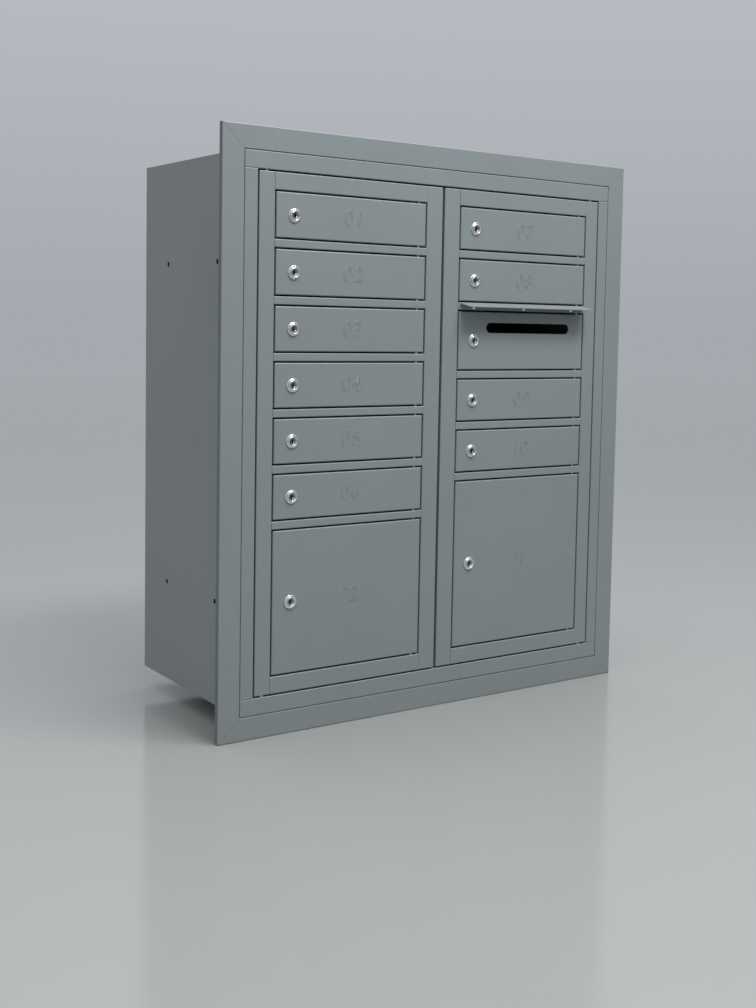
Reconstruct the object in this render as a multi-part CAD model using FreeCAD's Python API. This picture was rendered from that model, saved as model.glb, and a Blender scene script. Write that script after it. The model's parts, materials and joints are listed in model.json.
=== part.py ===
"""Recessed parcel locker: a wall box with a mitred trim, two hinged master frames, thirteen small
cam-locked doors, a mail slot under a rain hood, and one compartment behind every door.

Millimetres. +X is to the right seen from the front, +Y goes into the wall, +Z is up. The origin is
the middle of the carcass' underside, in the plane of the finished wall.
"""
import FreeCAD, Part

import math
import os
from collections import namedtuple

# Driving dimensions -------------------------------------------------------------------------
CARCASS_WIDTH = 750.0
CARCASS_HEIGHT = 890.0
FACE_Y = -10.0              # front of the trim, the surround, the master frames and the doors
REAR_Y = 370.0              # outside of the back panel
CARCASS_SHEET = 1.5
REAR_FLANGE = 12.0          # inward flange that the back panel is fixed to

FIXING_HOLE_RADIUS = 4.5    # four holes through each side panel
FIXING_Y = (83.0, 273.0)
FIXING_RISE = 274.5         # above and below the middle of the carcass

FRAME_SHEET = 2.0           # trim, surround and master frames
TRIM_FACE = 37.5
TRIM_LIP_Y = 0.0            # the outer lip ends on the wall
TRIM_LEG_Y = -2.0           # the inner leg stands against the surround
TRIM_BEND = 1.5
MITRE_REVEAL = 0.2
REVEAL_DEPTH = 0.6

SURROUND_STILE = 24.45      # carcass edge to the middle of the gap round the masters
SURROUND_RAIL = 29.5
SURROUND_BACK_Y = 18.0
SURROUND_BEND = 1.3
SURROUND_REVEAL = 0.8       # groove between the surround and the trim

GAP = 2.6                   # running gap round each door and each master frame
MIDDLE_GAP = 4.6            # gap between the two master frames
OUTER_STILE = 30.0          # these four go from gap middle to gap middle
INNER_STILE = 35.5
TOP_RAIL = 30.0
BOTTOM_RAIL = 30.5
CROSS_RAIL = 15.4
MASTER_BACK_Y = 2.0
MASTER_BEND = 1.5

SMALL_DOOR = 73.8           # door heights, gap middle to gap middle
MAIL_DOOR = 103.4
DOOR_SHEET = 1.6
DOOR_BACK_Y = 0.0
DOOR_BEND = 1.9
PANEL_HOLE_DEPTH = 4.0      # cutter depth behind the front of a door or rail

DOOR_PIVOT_INSET = 11.5     # from the door's right edge
DOOR_PIVOT_Y = -5.0
DOOR_PIN_RADIUS = 2.0
MASTER_PIVOT_INSET = 15.0   # from the frame's outer edge
MASTER_PIVOT_Y = -4.0
MASTER_PIN_RADIUS = 3.0
RUNNING_CLEARANCE = 0.05    # radial, wherever a pin or a plug turns in a hole
FIXED_CLEARANCE = 0.02      # radial, wherever a pin is held
COLLAR_PLAY = 0.2           # each side of a thrust collar
PIN_HEAD_RATIO = 1.3        # head and collar radius over pin radius
PIN_HEAD_DEPTH_RATIO = 0.6
PIN_TAIL_RATIO = 1.5        # how far a pin stands through the turning sheet

STOP_LIP = 12.0             # lip behind each door's lock side
STOP_LIP_FRONT_Y = 0.5
STOP_LIP_MARGIN = 3.0

LOCK_INSET = 33.5           # lock axis, from the door's left gap middle
LOCK_FLANGE_RADIUS = 11.0
LOCK_RING_RADIUS = 8.7
LOCK_BARREL_RADIUS = 9.5
LOCK_FLAT = 8.0             # half the distance across the barrel's flats
LOCK_FLANGE_DEPTH = 2.0
LOCK_HEAD_DEPTH = 3.6       # flange and ring together
LOCK_FLANGE_ROUND = 0.8
LOCK_RING_ROUND = 0.6
LOCK_HOLE_PLAY = 0.1        # the door's hole round the barrel
LOCK_BARREL_BACK_Y = 3.0
NUT_ACROSS = 23.0
NUT_DEPTH = 4.5
PLUG_RADIUS = 6.4
PLUG_STANDS_OUT = 3.0
PLUG_ROUND = 0.4
PLUG_SQUARE = 3.5           # half the side of the square that the cam sits on
KEYWAY_HALF_WIDTH = 0.9
KEYWAY_DEPTH = 9.0
KEYWAY_FOOT = 4.2
KEYWAY_HEAD = 3.4
CAM_LENGTH = 28.0
CAM_HALF_WIDTH = 6.5
CAM_HUB_RADIUS = 7.5
CAM_FRONT_Y = 3.5
CAM_SHEET = 2.0
CAM_SCREW_RADIUS = 2.0
CAM_SCREW_LENGTH = 5.0
CAM_SCREW_HEAD_RADIUS = 5.2
CAM_SCREW_HEAD_DEPTH = 2.2

SLOT_LENGTH = 190.0
SLOT_HEIGHT = 18.0
SLOT_SHIFT = 12.9           # right of the door's middle
SLOT_DROP = 20.0            # below the door's top gap middle

HOOD_SHEET = 1.5
HOOD_LENGTH = 279.0
HOOD_REACH = 29.0
HOOD_SLOPE_DEG = 10.0
HOOD_FLANGE = 11.4
HOOD_FLANGE_RISE = 1.5      # flange foot above the mail door's top gap middle
HOOD_RIVET_PITCH = 111.0
RIVET_RADIUS = 1.6
RIVET_HEAD_RADIUS = 3.0
RIVET_HEAD_HEIGHT = 1.1
RIVET_LEVEL_RATIO = 0.4     # up the hood's flange
RIVET_TAIL_RADIUS = 2.24
RIVET_TAIL_BACK = 2.0       # behind the rail's sheet

DIVIDER_SHEET = 1.5
DIVIDER_FRONT_Y = 12.0
DIVIDER_FLANGE = 10.0       # each side of the middle
SHELF_SHEET = 1.2
SHELF_FRONT_Y = 28.0
SHELF_HEM = 10.0
SHELF_HEM_DROP = 1.8

LATCH_Z = 600.0
LATCH_SPINDLE_RADIUS = 4.0
LATCH_ARM_LENGTH = 15.0
LATCH_ARM_HALF_WIDTH = 5.0
LATCH_ARM_FRONT_Y = 15.5
LATCH_ARM_SHEET = 2.0
LATCH_COLLAR_RADIUS = 6.0
LATCH_COLLAR_DEPTH = 4.0    # in front of the bridge
LATCH_RING_DEPTH = 2.0      # behind the bridge
LATCH_TAB_HALF_WIDTH = 1.0
LATCH_TAB_DEPTH = 8.0
BRIDGE_SHEET = 2.0
BRIDGE_HEIGHT = 40.0

# Worked out from the driving dimensions -----------------------------------------------------
V = FreeCAD.Vector
SIDE = CARCASS_WIDTH / 2
MASTER_SIDE = SIDE - SURROUND_STILE
MASTER_FOOT = SURROUND_RAIL
MASTER_HEAD = CARCASS_HEIGHT - SURROUND_RAIL
OPENING_SIDE = MASTER_SIDE + GAP / 2
OPENING_FOOT = MASTER_FOOT - GAP / 2
OPENING_HEAD = MASTER_HEAD + GAP / 2
MASTER_PIVOT_X = MASTER_SIDE - GAP / 2 - MASTER_PIVOT_INSET
CARCASS_FRONT_Y = FACE_Y + FRAME_SHEET
INNER_BACK_Y = REAR_Y - 2 * CARCASS_SHEET
DOOR_WIDTH = MASTER_SIDE - OUTER_STILE - INNER_STILE

Door = namedtuple("Door", "tag left right foot head")


# Small helpers ------------------------------------------------------------------------------
def block(x0, x1, y0, y1, z0, z1):
    """Box between two corners."""
    return Part.makeBox(x1 - x0, y1 - y0, z1 - z0, V(x0, y0, z0))


def upright(x, y, z0, z1, radius):
    """Cylinder along Z."""
    return Part.makeCylinder(radius, z1 - z0, V(x, y, z0), V(0, 0, 1))


def through(x, z, y0, y1, radius):
    """Cylinder along Y."""
    return Part.makeCylinder(radius, y1 - y0, V(x, y0, z), V(0, 1, 0))


def front_edges(shape, y):
    """Straight edges that lie in the plane Y = y."""
    return [e for e in shape.Edges if all(abs(v.Y - y) < 1e-6 for v in e.Vertexes)]


def rounded_block(x0, x1, y0, y1, z0, z1, bend):
    """Box whose four front edges are folded to a radius."""
    solid = block(x0, x1, y0, y1, z0, z1)
    return solid.makeFillet(bend, front_edges(solid, y0))


def tray(x0, x1, y0, y1, z0, z1, sheet, bend):
    """Folded sheet tray: a face with a flange back along each of its four sides."""
    hollow = block(x0 + sheet, x1 - sheet, y0 + sheet, y1 + 1, z0 + sheet, z1 - sheet)
    return rounded_block(x0, x1, y0, y1, z0, z1, bend).cut(hollow)


def obround(x, z, y0, y1, length, height):
    """Round-ended bar along X, cut or added through the span y0 to y1."""
    half = (length - height) / 2
    bar = block(x - half, x + half, y0, y1, z - height / 2, z + height / 2)
    for end in (x - half, x + half):
        bar = bar.fuse(through(end, z, y0, y1, height / 2))
    return bar.removeSplitter()


def both_sides(shape):
    """The shape and its mirror image across the plane X = 0."""
    return [shape, shape.mirror(V(0, 0, 0), V(1, 0, 0))]


def save(node, solids):
    """Write one node: a single solid, or a group of separate ones."""
    shape = solids[0] if len(solids) == 1 else Part.makeCompound(solids)
    shape.exportStep("parts/" + node + ".step")
    print(node, len(shape.Solids), round(shape.Volume / 1000, 2), "cm3", shape.isValid())


# Layout -------------------------------------------------------------------------------------
def stack(left, tags, heights):
    """Doors of one column from the top down; the last one takes what height is left."""
    doors = []
    head = MASTER_HEAD - TOP_RAIL
    for tag, height in zip(tags, heights + [None]):
        foot = MASTER_FOOT + BOTTOM_RAIL if height is None else head - height
        doors.append(Door(tag, left, left + DOOR_WIDTH, foot, head))
        head = foot - CROSS_RAIL
    return doors


LEFT_DOORS = stack(-MASTER_SIDE + OUTER_STILE, ["01", "02", "03", "04", "05", "06", "p2"],
                   [SMALL_DOOR] * 6)
RIGHT_DOORS = stack(INNER_STILE, ["07", "08", "mail", "09", "10", "p1"],
                    [SMALL_DOOR, SMALL_DOOR, MAIL_DOOR, SMALL_DOOR, SMALL_DOOR])
MAIL = RIGHT_DOORS[2]


def pivot_x(door):
    return door.right - GAP / 2 - DOOR_PIVOT_INSET


# Carcass ------------------------------------------------------------------------------------
def side_panel():
    """Left side: a sheet with four fixing holes and a flange at the rear."""
    sheet = CARCASS_SHEET
    panel = block(-SIDE, -SIDE + sheet, CARCASS_FRONT_Y, REAR_Y - sheet, 0, CARCASS_HEIGHT)
    panel = panel.fuse(block(-SIDE, -SIDE + REAR_FLANGE, INNER_BACK_Y, REAR_Y - sheet,
                             0, CARCASS_HEIGHT)).removeSplitter()
    for y in FIXING_Y:
        for rise in (-FIXING_RISE, FIXING_RISE):
            hole = Part.makeCylinder(FIXING_HOLE_RADIUS, 3 * sheet,
                                     V(-SIDE - sheet, y, CARCASS_HEIGHT / 2 + rise), V(1, 0, 0))
            panel = panel.cut(hole)
    return panel


def bottom_panel():
    """Floor of the carcass, from the trim's leg back, with a flange at the rear."""
    sheet = CARCASS_SHEET
    inner = SIDE - sheet
    panel = block(-inner, inner, TRIM_LEG_Y, INNER_BACK_Y, 0, sheet)
    flange = block(-SIDE + REAR_FLANGE, SIDE - REAR_FLANGE, INNER_BACK_Y, REAR_Y - sheet,
                   0, REAR_FLANGE)
    return panel.fuse(flange).removeSplitter()


def top_panel():
    """The bottom panel turned over."""
    return bottom_panel().mirror(V(0, 0, CARCASS_HEIGHT / 2), V(0, 0, 1))


def centre_divider():
    """Upright wall between the columns, with a front flange that the master latches go behind."""
    sheet = DIVIDER_SHEET
    inner_foot = CARCASS_SHEET
    inner_head = CARCASS_HEIGHT - CARCASS_SHEET
    web = block(-sheet / 2, sheet / 2, SURROUND_BACK_Y, INNER_BACK_Y, inner_foot, inner_head)
    front = block(-sheet / 2, sheet / 2, DIVIDER_FRONT_Y, SURROUND_BACK_Y,
                  OPENING_FOOT, OPENING_HEAD)
    flange = block(-DIVIDER_FLANGE, DIVIDER_FLANGE, DIVIDER_FRONT_Y, DIVIDER_FRONT_Y + sheet,
                   OPENING_FOOT, OPENING_HEAD)
    return web.fuse(front).fuse(flange).removeSplitter()


def shelves(doors, outer, inner):
    """One shelf behind each rail between two doors; its front edge is hemmed."""
    made = []
    for upper in doors[:-1]:
        top = upper.foot - CROSS_RAIL / 2 + SHELF_SHEET / 2
        x0, x1 = sorted((outer, inner))
        shelf = block(x0, x1, SHELF_FRONT_Y, INNER_BACK_Y, top - SHELF_SHEET, top)
        hem = block(x0, x1, SHELF_FRONT_Y, SHELF_FRONT_Y + SHELF_HEM,
                    top - SHELF_SHEET - SHELF_HEM_DROP, top)
        made.append(shelf.fuse(hem).removeSplitter())
    return made


# Trim and surround --------------------------------------------------------------------------
def trim_bar(length, half_extent):
    """Mitred channel under the opening: face, lip against the wall, leg against the surround."""
    half = length / 2
    foot = -half_extent
    head = foot + TRIM_FACE
    bar = block(-half, half, FACE_Y, TRIM_LIP_Y, foot, head)
    long_edges = [e for e in front_edges(bar, FACE_Y) if e.Length > TRIM_FACE + 1]
    bar = bar.makeFillet(TRIM_BEND, long_edges)
    bar = bar.cut(block(-half, half, FACE_Y + FRAME_SHEET, TRIM_LIP_Y + 1,
                        foot + FRAME_SHEET, head - FRAME_SHEET))
    bar = bar.cut(block(-half, half, TRIM_LEG_Y, TRIM_LIP_Y + 1, head - FRAME_SHEET - 1, head))
    bar = bar.common(mitred_slab(half, foot, head, 0, FACE_Y - 1, TRIM_LIP_Y + 1))
    front = block(-half, half, FACE_Y - 1, FACE_Y + REVEAL_DEPTH, foot, head)
    reveal = front.cut(mitred_slab(half, foot, head, MITRE_REVEAL, FACE_Y - 2, TRIM_LIP_Y))
    return bar.cut(reveal)


def mitred_slab(half, foot, head, back_off, y0, y1):
    """Prism whose ends run in at 45 degrees, each drawn back by back_off along X."""
    rise = head - foot
    corners = [(-half + back_off, foot), (half - back_off, foot),
               (half - back_off - rise, head), (-half + back_off + rise, head)]
    points = [V(x, y0, z) for x, z in corners]
    return Part.Face(Part.makePolygon(points + points[:1])).extrude(V(0, y1 - y0, 0))


def trim_pieces():
    """The four mitred bars by name, turned about the middle of the carcass."""
    wide = CARCASS_WIDTH + 2 * TRIM_FACE
    tall = CARCASS_HEIGHT + 2 * TRIM_FACE
    pieces = {}
    for turn, name in enumerate(("trim_bottom", "trim_left", "trim_top", "trim_right")):
        length, across = (wide, tall) if turn % 2 == 0 else (tall, wide)
        bar = trim_bar(length, across / 2)
        bar.rotate(V(0, 0, 0), V(0, 1, 0), 90 * turn)
        bar.translate(V(0, 0, CARCASS_HEIGHT / 2))
        pieces[name] = bar
    return pieces


def surround_rail():
    """Lower rail, across the whole carcass, with its flange along the opening."""
    half = SIDE - SURROUND_REVEAL
    lower = rounded_block(-half, half, FACE_Y, SURROUND_BACK_Y, SURROUND_REVEAL, OPENING_FOOT,
                          SURROUND_BEND)
    lower = lower.cut(block(-SIDE - 1, SIDE + 1, CARCASS_FRONT_Y, SURROUND_BACK_Y + 1,
                            -1, OPENING_FOOT - FRAME_SHEET))
    for side in (-1, 1):
        x0, x1 = sorted((side * (OPENING_SIDE + FRAME_SHEET), side * (SIDE + 1)))
        lower = lower.cut(block(x0, x1, CARCASS_FRONT_Y, SURROUND_BACK_Y + 1,
                                -1, OPENING_FOOT + 1))
        lower = lower.cut(upright(side * MASTER_PIVOT_X, MASTER_PIVOT_Y, 0, SURROUND_RAIL,
                                  MASTER_PIN_RADIUS + FIXED_CLEARANCE))
    return lower


def surround_stile():
    """Right stile, between the two rails."""
    upright_bar = rounded_block(OPENING_SIDE, SIDE - SURROUND_REVEAL, FACE_Y, SURROUND_BACK_Y,
                                OPENING_FOOT, OPENING_HEAD, SURROUND_BEND)
    return upright_bar.cut(block(OPENING_SIDE + FRAME_SHEET, SIDE + 1, CARCASS_FRONT_Y,
                                 SURROUND_BACK_Y + 1, OPENING_FOOT - 1, OPENING_HEAD + 1))


def surround_frame():
    lower = surround_rail()
    upper = lower.mirror(V(0, 0, CARCASS_HEIGHT / 2), V(0, 0, 1))
    return [lower, upper] + both_sides(surround_stile())


# Pins ---------------------------------------------------------------------------------------
def hinge_pin(x, y, near, sheet_held, sheet_turning, radius, up, collar):
    """Headed pin held in one sheet and turning in the next, across the running gap.

    near is the level of the held sheet's face at the gap, and up is +1 where the moving part is
    above it. A collar carries the weight of the moving part.
    """
    head_radius = PIN_HEAD_RATIO * radius
    tail = near + up * (GAP + sheet_turning + PIN_TAIL_RATIO * radius)
    back = near - up * sheet_held
    spans = [(back, tail, radius),
             (back, back - up * PIN_HEAD_DEPTH_RATIO * radius, head_radius)]
    if collar:
        spans.append((near, near + up * (GAP - COLLAR_PLAY), head_radius))
    pin = None
    for start, end, size in spans:
        rod = upright(x, y, min(start, end), max(start, end), size)
        pin = rod if pin is None else pin.fuse(rod)
    return pin.removeSplitter()


def master_hinge_pins():
    lower = hinge_pin(MASTER_PIVOT_X, MASTER_PIVOT_Y, OPENING_FOOT, FRAME_SHEET, FRAME_SHEET,
                      MASTER_PIN_RADIUS, 1, True)
    upper = hinge_pin(MASTER_PIVOT_X, MASTER_PIVOT_Y, OPENING_HEAD, FRAME_SHEET, FRAME_SHEET,
                      MASTER_PIN_RADIUS, -1, False)
    return both_sides(lower) + both_sides(upper)


def door_pins(doors):
    pins = []
    for door in doors:
        for level, up in ((door.foot - GAP / 2, 1), (door.head + GAP / 2, -1)):
            pins.append(hinge_pin(pivot_x(door), DOOR_PIVOT_Y, level, FRAME_SHEET, DOOR_SHEET,
                                  DOOR_PIN_RADIUS, up, up == 1))
    return pins


# Master frames ------------------------------------------------------------------------------
def stile(x0, x1):
    return tray(x0, x1, FACE_Y, MASTER_BACK_Y, MASTER_FOOT + GAP / 2, MASTER_HEAD - GAP / 2,
                FRAME_SHEET, MASTER_BEND)


def rail(x0, x1, z0, z1, pin_x, pin_levels):
    """Channel between the stiles, open at its ends, bored for the door pins it carries."""
    bar = block(x0, x1, FACE_Y, MASTER_BACK_Y, z0, z1)
    bar = bar.makeFillet(MASTER_BEND, [e for e in front_edges(bar, FACE_Y) if e.Length > z1 - z0])
    bar = bar.cut(block(x0 - 1, x1 + 1, CARCASS_FRONT_Y, MASTER_BACK_Y + 1,
                        z0 + FRAME_SHEET, z1 - FRAME_SHEET))
    for level in pin_levels:
        bar = bar.cut(upright(pin_x, DOOR_PIVOT_Y, level - 1.5 * FRAME_SHEET,
                              level + 1.5 * FRAME_SHEET, DOOR_PIN_RADIUS + FIXED_CLEARANCE))
    return bar


def rails(doors):
    """Rails above, between and below the doors of one column."""
    x0, x1 = doors[0].left - GAP / 2, doors[0].right + GAP / 2
    heads = [MASTER_HEAD - GAP] + [door.foot for door in doors]
    feet = [door.head for door in doors] + [MASTER_FOOT + GAP]
    made = []
    for index, (head, foot) in enumerate(zip(heads, feet)):
        z0, z1 = foot + GAP / 2, head - GAP / 2
        levels = [z0] if index == 0 else [z0, z1]
        if index == 0:
            z1 = head + GAP / 2
        elif index == len(doors):
            z0, levels = foot - GAP / 2, [z1]
        made.append(rail(x0, x1, z0, z1, pivot_x(doors[0]), levels))
    return made


def with_stop_lips(bar, edge, doors):
    """Add a lip behind each door's lock side; the cam turns in behind it."""
    for door in doors:
        lip = block(edge - FRAME_SHEET, edge + STOP_LIP, STOP_LIP_FRONT_Y, MASTER_BACK_Y,
                    door.foot + STOP_LIP_MARGIN, door.head - STOP_LIP_MARGIN)
        bar = bar.fuse(lip)
    return bar.removeSplitter()


def with_master_pivots(bar, side):
    """Bore the stile's two ends for the master hinge pins."""
    for z in (MASTER_FOOT, MASTER_HEAD):
        bar = bar.cut(upright(side * MASTER_PIVOT_X, MASTER_PIVOT_Y, z - 2 * FRAME_SHEET,
                              z + 2 * FRAME_SHEET, MASTER_PIN_RADIUS + RUNNING_CLEARANCE))
    return bar


def latch_x(side):
    """Middle of the inner stile."""
    return side * (INNER_STILE - GAP / 2 + MIDDLE_GAP / 2) / 2


def latch_bridge(side):
    """Plate across the back of the inner stile that the master latch turns in."""
    outer = INNER_STILE - GAP / 2
    x0, x1 = sorted((side * MIDDLE_GAP / 2, side * outer))
    plate = block(x0, x1, MASTER_BACK_Y, MASTER_BACK_Y + BRIDGE_SHEET,
                  LATCH_Z - BRIDGE_HEIGHT / 2, LATCH_Z + BRIDGE_HEIGHT / 2)
    return plate.cut(through(latch_x(side), LATCH_Z, 0, 3 * BRIDGE_SHEET,
                             LATCH_SPINDLE_RADIUS + RUNNING_CLEARANCE))


def left_master_frame():
    opening = LEFT_DOORS[0].left - GAP / 2
    outer = with_stop_lips(stile(-MASTER_SIDE + GAP / 2, opening), opening, LEFT_DOORS)
    inner = stile(-INNER_STILE + GAP / 2, -MIDDLE_GAP / 2)
    return [with_master_pivots(outer, -1), inner, latch_bridge(-1)] + rails(LEFT_DOORS)


def right_master_frame():
    opening = RIGHT_DOORS[0].left - GAP / 2
    inner = with_stop_lips(stile(MIDDLE_GAP / 2, opening), opening, RIGHT_DOORS)
    outer = stile(RIGHT_DOORS[0].right + GAP / 2, MASTER_SIDE - GAP / 2)
    bars = rails(RIGHT_DOORS)
    hood_rail = RIGHT_DOORS.index(MAIL)
    for x in rivet_places():
        bars[hood_rail] = bars[hood_rail].cut(through(x, rivet_level(), FACE_Y - 1,
                                                      FACE_Y + PANEL_HOLE_DEPTH,
                                                      RIVET_RADIUS + FIXED_CLEARANCE))
    return [with_master_pivots(outer, 1), inner, latch_bridge(1)] + bars


def master_latch(side):
    """Spindle with a collar each side of its bridge and an arm that hangs down when open."""
    x = latch_x(side)
    front = MASTER_BACK_Y - LATCH_COLLAR_DEPTH
    bridge_back = MASTER_BACK_Y + BRIDGE_SHEET
    arm_back = LATCH_ARM_FRONT_Y + LATCH_ARM_SHEET
    body = through(x, LATCH_Z, front, arm_back, LATCH_SPINDLE_RADIUS)
    body = body.fuse(through(x, LATCH_Z, front, MASTER_BACK_Y - COLLAR_PLAY,
                             LATCH_COLLAR_RADIUS))
    body = body.fuse(through(x, LATCH_Z, bridge_back + COLLAR_PLAY,
                             bridge_back + LATCH_RING_DEPTH, LATCH_COLLAR_RADIUS))
    arm = block(x - LATCH_ARM_HALF_WIDTH, x + LATCH_ARM_HALF_WIDTH, LATCH_ARM_FRONT_Y, arm_back,
                LATCH_Z - LATCH_ARM_LENGTH, LATCH_Z)
    hub = through(x, LATCH_Z, LATCH_ARM_FRONT_Y, arm_back, LATCH_ARM_HALF_WIDTH)
    tab = block(x - LATCH_TAB_HALF_WIDTH, x + LATCH_TAB_HALF_WIDTH, arm_back,
                arm_back + LATCH_TAB_DEPTH, LATCH_Z - LATCH_ARM_LENGTH, LATCH_Z)
    return body.fuse(arm).fuse(hub).fuse(tab).removeSplitter()


# Rain hood ----------------------------------------------------------------------------------
def hood_foot():
    return MAIL.head + HOOD_FLANGE_RISE


def rivet_level():
    return hood_foot() + RIVET_LEVEL_RATIO * HOOD_FLANGE


def rivet_places():
    middle = (MAIL.left + MAIL.right) / 2
    return [middle + step * HOOD_RIVET_PITCH for step in (-1, 0, 1)]


def mail_hood():
    """Folded strip: a flange riveted to the rail and a plate that slopes out over the slot."""
    slope = math.tan(math.radians(HOOD_SLOPE_DEG))
    drop = HOOD_SHEET / math.cos(math.radians(HOOD_SLOPE_DEG))
    foot, head = hood_foot(), hood_foot() + HOOD_FLANGE
    front = FACE_Y - HOOD_SHEET
    tip = FACE_Y - HOOD_REACH

    def top(y):
        return head - (FACE_Y - y) * slope

    outline = [(FACE_Y, foot), (front, foot), (front, top(front) - drop), (tip, top(tip) - drop),
               (tip, top(tip)), (FACE_Y, head)]
    x0 = (MAIL.left + MAIL.right - HOOD_LENGTH) / 2
    points = [V(x0, y, z) for y, z in outline]
    hood = Part.Face(Part.makePolygon(points + points[:1])).extrude(V(HOOD_LENGTH, 0, 0))

    def along_x(y, z):
        return [e for e in hood.Edges
                if all(abs(v.Y - y) < 1e-6 and abs(v.Z - z) < 1e-6 for v in e.Vertexes)]

    hood = hood.makeFillet(HOOD_SHEET, along_x(FACE_Y, head))
    for x in rivet_places():
        hood = hood.cut(through(x, rivet_level(), front - 1, FACE_Y + 1,
                                RIVET_RADIUS + FIXED_CLEARANCE))
    return hood


def hood_rivets():
    """Three domed rivets through the hood's flange and the rail's face."""
    radius, height = RIVET_HEAD_RADIUS, RIVET_HEAD_HEIGHT
    dome_radius = (radius ** 2 + height ** 2) / (2 * height)
    seat = FACE_Y - HOOD_SHEET
    z = rivet_level()
    made = []
    for x in rivet_places():
        ball = Part.makeSphere(dome_radius, V(x, seat + dome_radius - height, z))
        dome = ball.common(block(x - dome_radius, x + dome_radius, seat - dome_radius, seat,
                                 z - dome_radius, z + dome_radius))
        shank = through(x, z, seat, CARCASS_FRONT_Y + RIVET_TAIL_BACK, RIVET_RADIUS)
        tail = through(x, z, CARCASS_FRONT_Y, CARCASS_FRONT_Y + RIVET_TAIL_BACK,
                       RIVET_TAIL_RADIUS)
        made.append(dome.fuse(shank).fuse(tail).removeSplitter())
    return made


# Doors and locks ----------------------------------------------------------------------------
def lock_place(door):
    return door.left + LOCK_INSET, (door.foot + door.head) / 2


def double_d(x, z, y0, y1, radius, flat):
    """Barrel with flats to its left and right."""
    return through(x, z, y0, y1, radius).common(
        block(x - flat, x + flat, y0 - 1, y1 + 1, z - radius - 1, z + radius + 1))


def door_panel(door):
    """Tray that fills its opening, bored for the lock and for its two hinge pins."""
    edge = GAP / 2
    panel = tray(door.left + edge, door.right - edge, FACE_Y, DOOR_BACK_Y, door.foot + edge,
                 door.head - edge, DOOR_SHEET, DOOR_BEND)
    x, z = lock_place(door)
    hole_back = FACE_Y + PANEL_HOLE_DEPTH
    panel = panel.cut(double_d(x, z, FACE_Y - 1, hole_back, LOCK_BARREL_RADIUS + LOCK_HOLE_PLAY,
                               LOCK_FLAT + LOCK_HOLE_PLAY))
    for level in (door.foot + edge, door.head - edge):
        panel = panel.cut(upright(pivot_x(door), DOOR_PIVOT_Y, level - 2 * DOOR_SHEET,
                                  level + 2 * DOOR_SHEET, DOOR_PIN_RADIUS + RUNNING_CLEARANCE))
    if door is MAIL:
        slot_x = (door.left + door.right) / 2 + SLOT_SHIFT
        slot_z = door.head - SLOT_DROP - SLOT_HEIGHT / 2
        panel = panel.cut(obround(slot_x, slot_z, FACE_Y - 1, hole_back, SLOT_LENGTH,
                                  SLOT_HEIGHT))
    return panel


def lock_body(door):
    """Housing with a stepped head and a flatted barrel, and the hexagon nut behind the sheet."""
    x, z = lock_place(door)
    flange_y, ring_y = FACE_Y - LOCK_FLANGE_DEPTH, FACE_Y - LOCK_HEAD_DEPTH
    flange = through(x, z, flange_y, FACE_Y, LOCK_FLANGE_RADIUS)
    flange = flange.makeFillet(LOCK_FLANGE_ROUND, front_edges(flange, flange_y))
    ring = through(x, z, ring_y, flange_y, LOCK_RING_RADIUS)
    ring = ring.makeFillet(LOCK_RING_ROUND, front_edges(ring, ring_y))
    barrel = double_d(x, z, FACE_Y, LOCK_BARREL_BACK_Y, LOCK_BARREL_RADIUS, LOCK_FLAT)
    housing = flange.fuse(ring).fuse(barrel).removeSplitter()
    housing = housing.cut(through(x, z, ring_y - 1, LOCK_BARREL_BACK_Y + 1,
                                  PLUG_RADIUS + RUNNING_CLEARANCE))
    nut_y = FACE_Y + DOOR_SHEET
    corner = NUT_ACROSS / math.sqrt(3)
    turns = [math.radians(60 * k) for k in range(7)]
    points = [V(x + corner * math.cos(t), nut_y, z + corner * math.sin(t)) for t in turns]
    nut = Part.Face(Part.makePolygon(points)).extrude(V(0, NUT_DEPTH, 0))
    nut = nut.cut(through(x, z, nut_y - 1, nut_y + NUT_DEPTH + 1,
                          LOCK_BARREL_RADIUS + FIXED_CLEARANCE))
    return [housing, nut]


def lock_plug(door):
    """Keyed plug, the cam on its square end, and the screw that holds the cam."""
    x, z = lock_place(door)
    front = FACE_Y - PLUG_STANDS_OUT
    cam_back = CAM_FRONT_Y + CAM_SHEET

    def square(y0, y1):
        return block(x - PLUG_SQUARE, x + PLUG_SQUARE, y0, y1, z - PLUG_SQUARE, z + PLUG_SQUARE)

    plug = through(x, z, front, CAM_FRONT_Y, PLUG_RADIUS)
    plug = plug.makeFillet(PLUG_ROUND, front_edges(plug, front))
    plug = plug.fuse(square(CAM_FRONT_Y, cam_back))
    plug = plug.cut(block(x - KEYWAY_HALF_WIDTH, x + KEYWAY_HALF_WIDTH, front - 1,
                          front + KEYWAY_DEPTH, z - KEYWAY_FOOT, z + KEYWAY_HEAD))
    plug = plug.cut(through(x, z, cam_back - CAM_SCREW_LENGTH - 1, cam_back + 1,
                            CAM_SCREW_RADIUS + FIXED_CLEARANCE))
    reach = CAM_LENGTH - CAM_HALF_WIDTH
    cam = through(x, z, CAM_FRONT_Y, cam_back, CAM_HUB_RADIUS)
    cam = cam.fuse(block(x - CAM_HALF_WIDTH, x + CAM_HALF_WIDTH, CAM_FRONT_Y, cam_back,
                         z - reach, z))
    cam = cam.fuse(through(x, z - reach, CAM_FRONT_Y, cam_back, CAM_HALF_WIDTH)).removeSplitter()
    cam = cam.cut(square(CAM_FRONT_Y - 1, cam_back + 1))
    screw = through(x, z, cam_back, cam_back + CAM_SCREW_HEAD_DEPTH, CAM_SCREW_HEAD_RADIUS)
    screw = screw.fuse(through(x, z, cam_back - CAM_SCREW_LENGTH, cam_back,
                               CAM_SCREW_RADIUS)).removeSplitter()
    return [plug, cam, screw]


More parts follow.
